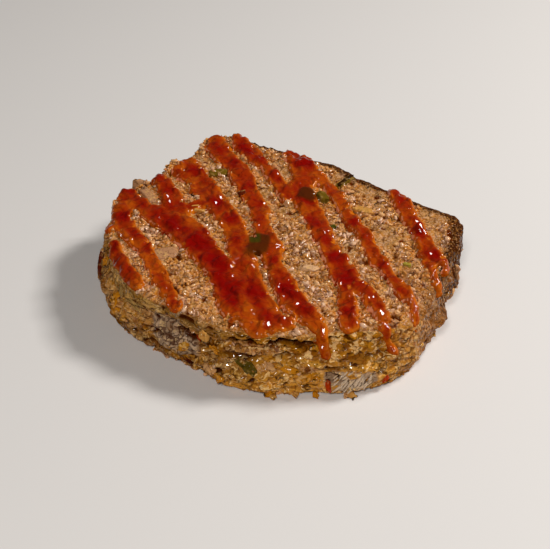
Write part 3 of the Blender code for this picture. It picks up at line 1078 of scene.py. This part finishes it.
def glazed_share(skin, surface):
    """Store how far inside the glaze each point of the skin is, down to FAR_OUTSIDE."""
    points, normals = mesh_points(skin.data), mesh_normals(skin.data)
    reached = (normals[:, 2] > -0.3) & (points[:, 2] > GLAZE_LOWEST)
    inside = np.full(len(points), FAR_OUTSIDE)
    inside[reached] = depth_inside(points[reached], glaze_path(surface))
    level = smooth_step(0.7, 0.95, normals[:, 2])
    torn = smooth_step(0.3, 0.45, noise_at(points, 1.9, 54)) * (1.0 - smooth_step(1.0, 2.4, inside))
    ragged = 0.6 * noise_at(points, 3.6, 51) + 0.45 * noise_at(points, 1.7, 52) - 1.2 * torn
    ragged = GLAZE_SPREAD + ragged * (0.2 + 0.8 * level)
    store(skin.data, "glazed", np.maximum(inside + ragged, FAR_OUTSIDE))


def over_pepper(points, pieces):
    """1 where the glaze lies over one of the pieces of pepper, falling to 0 at the piece's edge."""
    share = np.zeros(len(points))
    ragged = 0.3 * noise_at(points, 5.0, 57)
    for x, y, length, width, turn in pieces:
        turn = math.radians(turn)
        right, back = points[:, 0] - x, points[:, 1] - y
        along = np.abs(right * math.cos(turn) + back * math.sin(turn)) / (0.5 * length)
        across = np.abs(back * math.cos(turn) - right * math.sin(turn)) / (0.5 * width)
        within = 1.0 - np.hypot(along**3, across**3) ** (1 / 3) + ragged
        share = np.maximum(share, smooth_step(-0.05, 0.35, within))
    return share


def glaze_top(points, normals, inside, over):
    """How high the glaze stands over the skin: rippled, smooth over pepper, with domes facing the light."""
    lumps = crumb_relief(points)["height"]
    ripples = 1.4 * np.abs(noise_at(swayed(points, 0.4, 5.0, 55), (4.0, 6.0, 4.0), 53))
    ripples += 0.8 * np.abs(noise_at(swayed(points, 0.3, 2.0, 59), 2.4, 56))
    top = GLAZE_HEIGHT + (1.0 - over) * (ripples + 0.4 * np.clip(lumps, -0.8, 0.8)) + 0.9 * over
    top += 0.03 * np.minimum(inside, 5.0)
    for x, y, height, radius, rise in DOMES:
        apart = np.linalg.norm(points - (x, y, height), axis=1)
        top += rise * np.clip(1.0 - (apart / radius) ** 2, 0.0, 1.0) ** 2
        middle = np.argmin(apart)
        tip = points[middle] + normals[middle] * top[middle]
        facet = (tip - points) @ GLINT_FACING - apart**2 / (2.0 * GLINT_BEND)
        facet = facet / np.maximum(normals @ GLINT_FACING, 0.4)
        share = 1.0 - smooth_step(0.45 * radius, 0.8 * radius, apart)
        top += share * (np.maximum(facet, 0.3) - top)
    return top


def closed_shell(name, mesh, taken, upper, lower):
    """A closed mesh between two skins, over the faces that have a taken point, and the points it uses."""
    kept = [tuple(face.vertices) for face in mesh.polygons if any(taken[v] for v in face.vertices)]
    used = np.array(sorted({vertex for face in kept for vertex in face}))
    renumber = {vertex: index for index, vertex in enumerate(used.tolist())}
    count = len(used)
    faces = [tuple(renumber[v] for v in face) for face in kept]
    bottoms = [tuple(v + count for v in reversed(face)) for face in faces]
    sides = {(a, b) for face in faces for a, b in zip(face, face[1:] + face[:1])}
    walls = [(b, a, a + count, b + count) for a, b in sorted(sides) if (b, a) not in sides]
    made = mesh_from(name, np.concatenate([upper[used], lower[used]]), faces + bottoms + walls)
    made.shade_smooth()
    return made, used


def make_glaze(skin):
    """A closed skin of glaze: from under the meat's surface, over a rounded edge, to a rippled top."""
    mesh = skin.data
    points, normals = mesh_points(mesh), mesh_normals(mesh)
    kept = {"inside": stored(mesh, "glazed")}
    kept["pool"] = blots(POOLS, points, 1.8 * noise_at(points, 3.0, 58), 0.0, 2.4)
    for colour, pieces in UNDER_GLAZE.items():
        kept[colour] = over_pepper(points, pieces)
    inside = kept["inside"]
    dome = np.sqrt(1.0 - (1.0 - np.clip(inside / GLAZE_EDGE, 0.0, 1.0)) ** 2)
    top = glaze_top(points, normals, inside, np.maximum(kept["brown"], kept["green"]))
    thickness = dome * top - GLAZE_ROOT * np.clip(-inside / GLAZE_DIVE, 0.0, 1.0)
    thickness = spread_out(thickness, mesh_edges(mesh), 1)
    upper = points + normals * thickness[:, None]
    lower = points - normals * GLAZE_UNDERSIDE
    made, used = closed_shell("glaze", mesh, thickness > 0.02 - GLAZE_ROOT, upper, lower)
    for name, values in kept.items():
        store(made, name, np.tile(values[used], 2))
    facing = mesh_normals(made)
    # Which way the edges face; the glaze's finish paints highlights on the left-facing and right-facing ones.
    store(made, "leftward", np.clip(-facing[:, 0], 0.0, 1.0) * smooth_step(0.2, 0.5, facing[:, 2]))
    store(made, "rightward", smooth_step(0.05, 0.45, facing[:, 0]))
    store(made, "shine", smooth_step(0.15, 0.5, facing[:, 2]))
    glaze = add_object("glaze", made)
    thin_out(glaze, np.arange(2 * len(used)) >= len(used))
    return glaze


def glaze_finish():
    """Cooked tomato glaze: deep red where it pools, orange between, golden at its thin edge, with painted
    highlights on its right- and left-facing edges and painted shade along its ripples.
    """
    glaze = Finish("glaze")
    place = glaze.place()
    bent = glaze.warped(place, 6.0, 3.0)
    inside = glaze.stored("inside")
    pools = glaze.noise(bent, 10.0, 5.0)
    swirls = glaze.noise(glaze.stretched(bent, (1.0, 1.6, 1.0)), 3.4)
    ripples = (glaze.noise(glaze.warped(place, 3.0, 2.0), 4.0, 23.0, 1.0) - 0.5).absolute()
    deep = glaze.stored("pool") * 0.6 + inside.smaller(5.0) * 0.1
    thick = deep + 1.5 * (pools - 0.46) + 1.3 * (swirls - 0.5)
    # Golden is the thin edge's colour here and there, with a painted highlight on the edges that face right,
    # towards the key light.
    golden = glaze.stored("rightward") * 0.6 + swirls.between(0.44, 0.56) * 0.5
    painted_highlight = (1.0 - inside.between(0.3, 1.0)) * glaze.stored("leftward").between(0.35, 0.6)
    glaze.set(
        Base_Color=glaze.layered(
            glaze.blend(thick.between(-0.1, 0.4), (170, 70, 6), (150, 42, 3)),
            (thick.between(0.3, 0.8), (138, 20, 1)),
            (thick.between(0.7, 1.1), (130, 5, 0)),
            # Painted shade along the creases of the ripple bump.
            ((1.0 - ripples.between(0.0, 0.04)) * 0.4, (98, 8, 1)),
            (((1.0 - inside.between(0.0, 1.8)) * golden).clamped(), (200, 104, 14)),
            (glaze.stored("brown") * 0.9, (74, 32, 2)),
            (glaze.stored("green") * 0.9, (62, 56, 4)),
            # Painted highlight on the thin left-facing edge.
            (painted_highlight * glaze.noise(place, 1.8, 37.0, 1.0).between(0.46, 0.54), (240, 150, 108)),
        ),
        Roughness=0.5,
        Specular_IOR_Level=0.0,
        Coat_Weight=glaze.stored("shine"),
        Coat_Roughness=0.08,
        Coat_IOR=1.36,
        Normal=glaze.bumps(glaze.noise(place, 2.0, 9.0), 0.5, 0.8, glaze.bumps(ripples, 1.1, 0.9)),
    )
    return glaze.material


# ---------------------------------------------------------------- set pieces

def ball(detail):
    """Points and faces of a ball of radius 1."""
    solid = bmesh.new()
    bmesh.ops.create_icosphere(solid, subdivisions=detail, radius=1.0)
    points = np.array([vertex.co[:] for vertex in solid.verts])
    faces = np.array([[vertex.index for vertex in face.verts] for face in solid.faces])
    solid.free()
    return points, faces


class Bits:
    """Closed bits that are gathered into one mesh, each with its own colour."""

    def __init__(self, surface):
        self.surface = surface
        self.points = []
        self.faces = []
        self.paints = []
        self.count = 0

    def add(self, points, faces, colour):
        self.points.append(points)
        self.faces += (faces + self.count).tolist()
        self.paints.append(np.tile(paint(*colour), (len(points), 1)))
        self.count += len(points)

    def lump(self, place, along, normal, sizes, squareness, crumple, colour):
        """An uneven lump, squarer as squareness grows from 2, whose length lies along a direction."""
        points, faces = ball(3 if min(sizes) > 1.0 else 2)
        points = points / (np.abs(points) ** squareness).sum(axis=1)[:, None] ** (1.0 / squareness)
        seed = self.count % 97
        bent = points + crumple * wander(points + seed, 0.9, 71)
        bent = bent + 0.35 * crumple * wander(points + seed, 0.35, 72)
        normal = normal / np.linalg.norm(normal)
        along = along - normal * (along @ normal)
        along = along / np.linalg.norm(along)
        across = np.cross(normal, along)
        half = 0.5 * np.array(sizes)
        self.add(place + (bent * half) @ np.array([along, across, normal]), faces, colour)

    def on_top(self, rows, squareness, crumple):
        for x, y, *sizes, turn, lift, colour in rows:
            place, normal = self.surface.from_above(x, y)
            turn = math.radians(turn)
            along = np.array([math.cos(turn), math.sin(turn), 0.0])
            self.lump(place + normal * lift, along, normal, sizes, squareness, crumple, colour)

    def on_side(self, rows, squareness, crumple):
        for bearing, height, *sizes, slant, lift, colour in rows:
            place, normal = self.surface.from_side(bearing, height)
            slant = math.radians(slant)
            level = np.cross((0.0, 0.0, 1.0), normal)
            along = level * math.cos(slant) + np.cross(normal, level) * math.sin(slant)
            self.lump(place + normal * lift, along, normal, sizes, squareness, crumple, colour)

    def strands(self, rows):
        """Thin strands about a patch's middle, each with its own place and slant."""
        for bearing, height, half_width, half_height, slant, count, colour in rows:
            for step in range(count):
                across, up, bend, length = noise_at(np.arange(4)[:, None] * (3.7, 1.9, 5.3) + step, 1.0, 91)
                row = (bearing + STRAND_REACH * half_width * across, height + STRAND_REACH * half_height * up,
                       STRAND_LENGTH + STRAND_STRETCH * length, STRAND_WIDTH, STRAND_WIDTH,
                       slant + STRAND_TURN * bend, STRAND_LIFT, colour)
                self.on_side([row], 2.0, 1.0)

    def made(self, name):
        points = np.concatenate(self.points)
        points[:, 2] = np.maximum(points[:, 2], 0.0)
        mesh = mesh_from(name, points, self.faces)
        colours = np.concatenate(self.paints)
        layer = mesh.attributes.new("paint", "FLOAT_COLOR", "POINT")
        layer.data.foreach_set("color", colours.astype(np.float32).ravel())
        mesh.shade_smooth()
        return add_object(name, mesh)


def bit_finish(name, roughness, mottle):
    """A set piece in its own colour, mottled lighter and darker, with a skin of juice."""
    bit = Finish(name)
    place = bit.place()
    fine = bit.noise(place, 0.6, rough=0.6)
    bit.set(
        Base_Color=bit.layered(
            bit.painted(),
            (bit.noise(place, 1.6, 9.0).between(0.5, 0.68) * mottle, (226, 176, 100)),
            (fine.between(0.5, 0.7) * mottle, (60, 28, 4)),
        ),
        Roughness=0.5,
        Specular_IOR_Level=0.0,
        Coat_Weight=0.8 * fine.between(0.54, 0.6),
        Coat_Roughness=roughness,
        Normal=bit.bumps(fine, 0.2, 0.8),
    )
    return bit.material


def make_set_pieces(surface):
    """The pepper, the onion, and the lumps and strands of the side, one mesh each."""
    pepper, onion, lumps = Bits(surface), Bits(surface), Bits(surface)
    pepper.on_top(TOP_PEPPER, 8.0, 0.3)
    pepper.on_side(SIDE_PEPPER, 2.4, 1.4)
    finish_piece(pepper.made("pepper"), bit_finish("pepper", 0.1, 0.25))
    onion.on_top(TOP_ONION, 4.0, 0.5)
    finish_piece(onion.made("onion"), bit_finish("onion", 0.2, 0.5))
    lumps.on_side(SIDE_LUMPS, 2.0, 1.5)
    lumps.strands(STRANDS)
    finish_piece(lumps.made("side_lumps"), bit_finish("side_lumps", 0.1, 0.3))


# ---------------------------------------------------------------- floor, light and camera

def floor_finish():
    floor = Finish("floor")
    floor.set(Base_Color=paint(*FLOOR_COLOUR), Roughness=0.6)
    return floor.material


def make_floor():
    """A plain pale floor just under the loaf."""
    turns = np.linspace(0.0, 2 * math.pi, FLOOR_SIDES, False)
    rim = [(math.cos(turn), math.sin(turn), 0.0) for turn in turns]
    mesh = mesh_from("floor", np.array(rim) * FLOOR_RADIUS, [tuple(range(len(rim)))])
    mesh.materials.append(floor_finish())
    add_object("floor", mesh)


def add_light(name, bearing, elevation, distance, size, power):
    """A soft square light that faces the loaf; its bearing is measured from +X towards +Y."""
    light = bpy.data.lights.new(name, "AREA")
    light.size = size * MM
    light.energy = power
    lamp = add_object(name, light)
    turn, rise = math.radians(bearing), math.radians(elevation)
    away = Vector((math.cos(turn) * math.cos(rise), math.sin(turn) * math.cos(rise), math.sin(rise)))
    lamp.location = away * distance * MM
    lamp.rotation_mode = "QUATERNION"
    lamp.rotation_quaternion = away.to_track_quat("Z", "Y")


def make_light():
    for name, light in LIGHTS.items():
        add_light(name, *light)
    world = bpy.data.worlds.new("studio")
    world.use_nodes = True
    background = world.node_tree.nodes["Background"]
    background.inputs["Color"].default_value = WORLD_COLOUR
    background.inputs["Strength"].default_value = WORLD_STRENGTH
    bpy.context.scene.world = world
    bpy.context.scene.view_settings.view_transform = "Standard"


def make_camera():
    data = bpy.data.cameras.new("camera")
    data.sensor_width = SENSOR_WIDTH
    data.lens = 0.5 * SENSOR_WIDTH / math.tan(0.5 * CAMERA_ANGLE)
    camera = add_object("camera", data)
    back = Vector((0.0, -math.cos(CAMERA_ELEVATION), math.sin(CAMERA_ELEVATION)))
    camera.location = (Vector(LOOK_AT) + back * CAMERA_DISTANCE) * MM
    camera.rotation_mode = "QUATERNION"
    camera.rotation_quaternion = back.to_track_quat("Z", "Y")
    bpy.context.scene.camera = camera


# ---------------------------------------------------------------- putting it together

def finish_piece(piece, material):
    """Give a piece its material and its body."""
    piece.data.materials.clear()
    piece.data.materials.append(material)
    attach(piece, BODY)


def thin_out(piece, hidden):
    """Fewer faces round the points where hidden is true, which nothing shows."""
    group = piece.vertex_groups.new(name="hidden")
    group.add(np.nonzero(hidden)[0].tolist(), 1.0, "REPLACE")
    mesh = piece.data
    inner = sum(all(hidden[vertex] for vertex in face.vertices) for face in mesh.polygons)
    kept = 1.0 - (1.0 - HIDDEN_KEPT) * inner / len(mesh.polygons)
    modify(piece, "DECIMATE", ratio=kept, vertex_group="hidden", vertex_group_factor=HIDDEN_WEIGHT)
    piece.vertex_groups.clear()


def strew_lumps(loaf):
    """Loose granules on the cut face and bits on the side, where the meat is bare, open and whole."""
    mesh = loaf.data
    share = {name: stored(mesh, name) for name in
             ("glazed", "face", "rim", "recess_shade", "smooth", "grey", "lip", "crust", "large", "small", "wet")}
    bare = 1.0 - smooth_step(-0.1, 0.9, share["glazed"])
    level = np.abs(mesh_normals(mesh)[:, 2])
    clumps = smooth_step(0.04, 0.14, np.abs(share["large"])) * smooth_step(0.03, 0.1, np.abs(share["small"]))
    on_face = bare * smooth_step(0.6, 0.95, share["face"])
    on_face = on_face * (1.0 - share["rim"]) * (1.0 - share["recess_shade"]) * clumps * (1.0 - share["smooth"])
    on_side = bare * (1.0 - smooth_step(0.3, 0.6, level))
    for name in ("recess_shade", "grey", "lip", "crust"):
        on_side = on_side * (1.0 - share[name])
    clustered = smooth_step(-0.3, 0.0, noise_at(mesh_points(mesh), (6.0, 6.0, 3.0), 84))
    tree = scatter_tree()
    # The last colour of each finish is the painted shade where its lumps meet the loaf.
    granule = granule_finish("granules", (180, 110, 42), (228, 170, 108), (236, 190, 154), (100, 40, 0))
    bit = granule_finish("bits", (124, 76, 18), (212, 150, 58), (226, 178, 118), (36, 13, 2))
    for name in ("chunks", "granules", "grit"):
        strew(tree, name, loaf, on_face, granule)
    strew(tree, "side_bits", loaf, on_side, bit)
    strew(tree, "side_grit", loaf, on_side * clustered * (0.2 + 0.8 * share["wet"]), bit)


def make_slice():
    """The loaf, its glaze, and all that lies on it or is set in it."""
    loaf = smooth_skin()
    surface = Surface(loaf.data)
    glazed_share(loaf, surface)
    glaze = make_glaze(loaf)
    low = mesh_points(loaf.data)[:, 2] < UNDERSIDE
    thin_out(loaf, low | (stored(loaf.data, "glazed") > BURIED))
    raise_skin(loaf)
    loaf.data.shade_smooth()
    strew_lumps(loaf)
    make_set_pieces(surface)
    finish_piece(loaf, meat_finish())
    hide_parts(NODE)
    finish_piece(glaze, glaze_finish())


make_slice()
make_floor()
make_light()
make_camera()
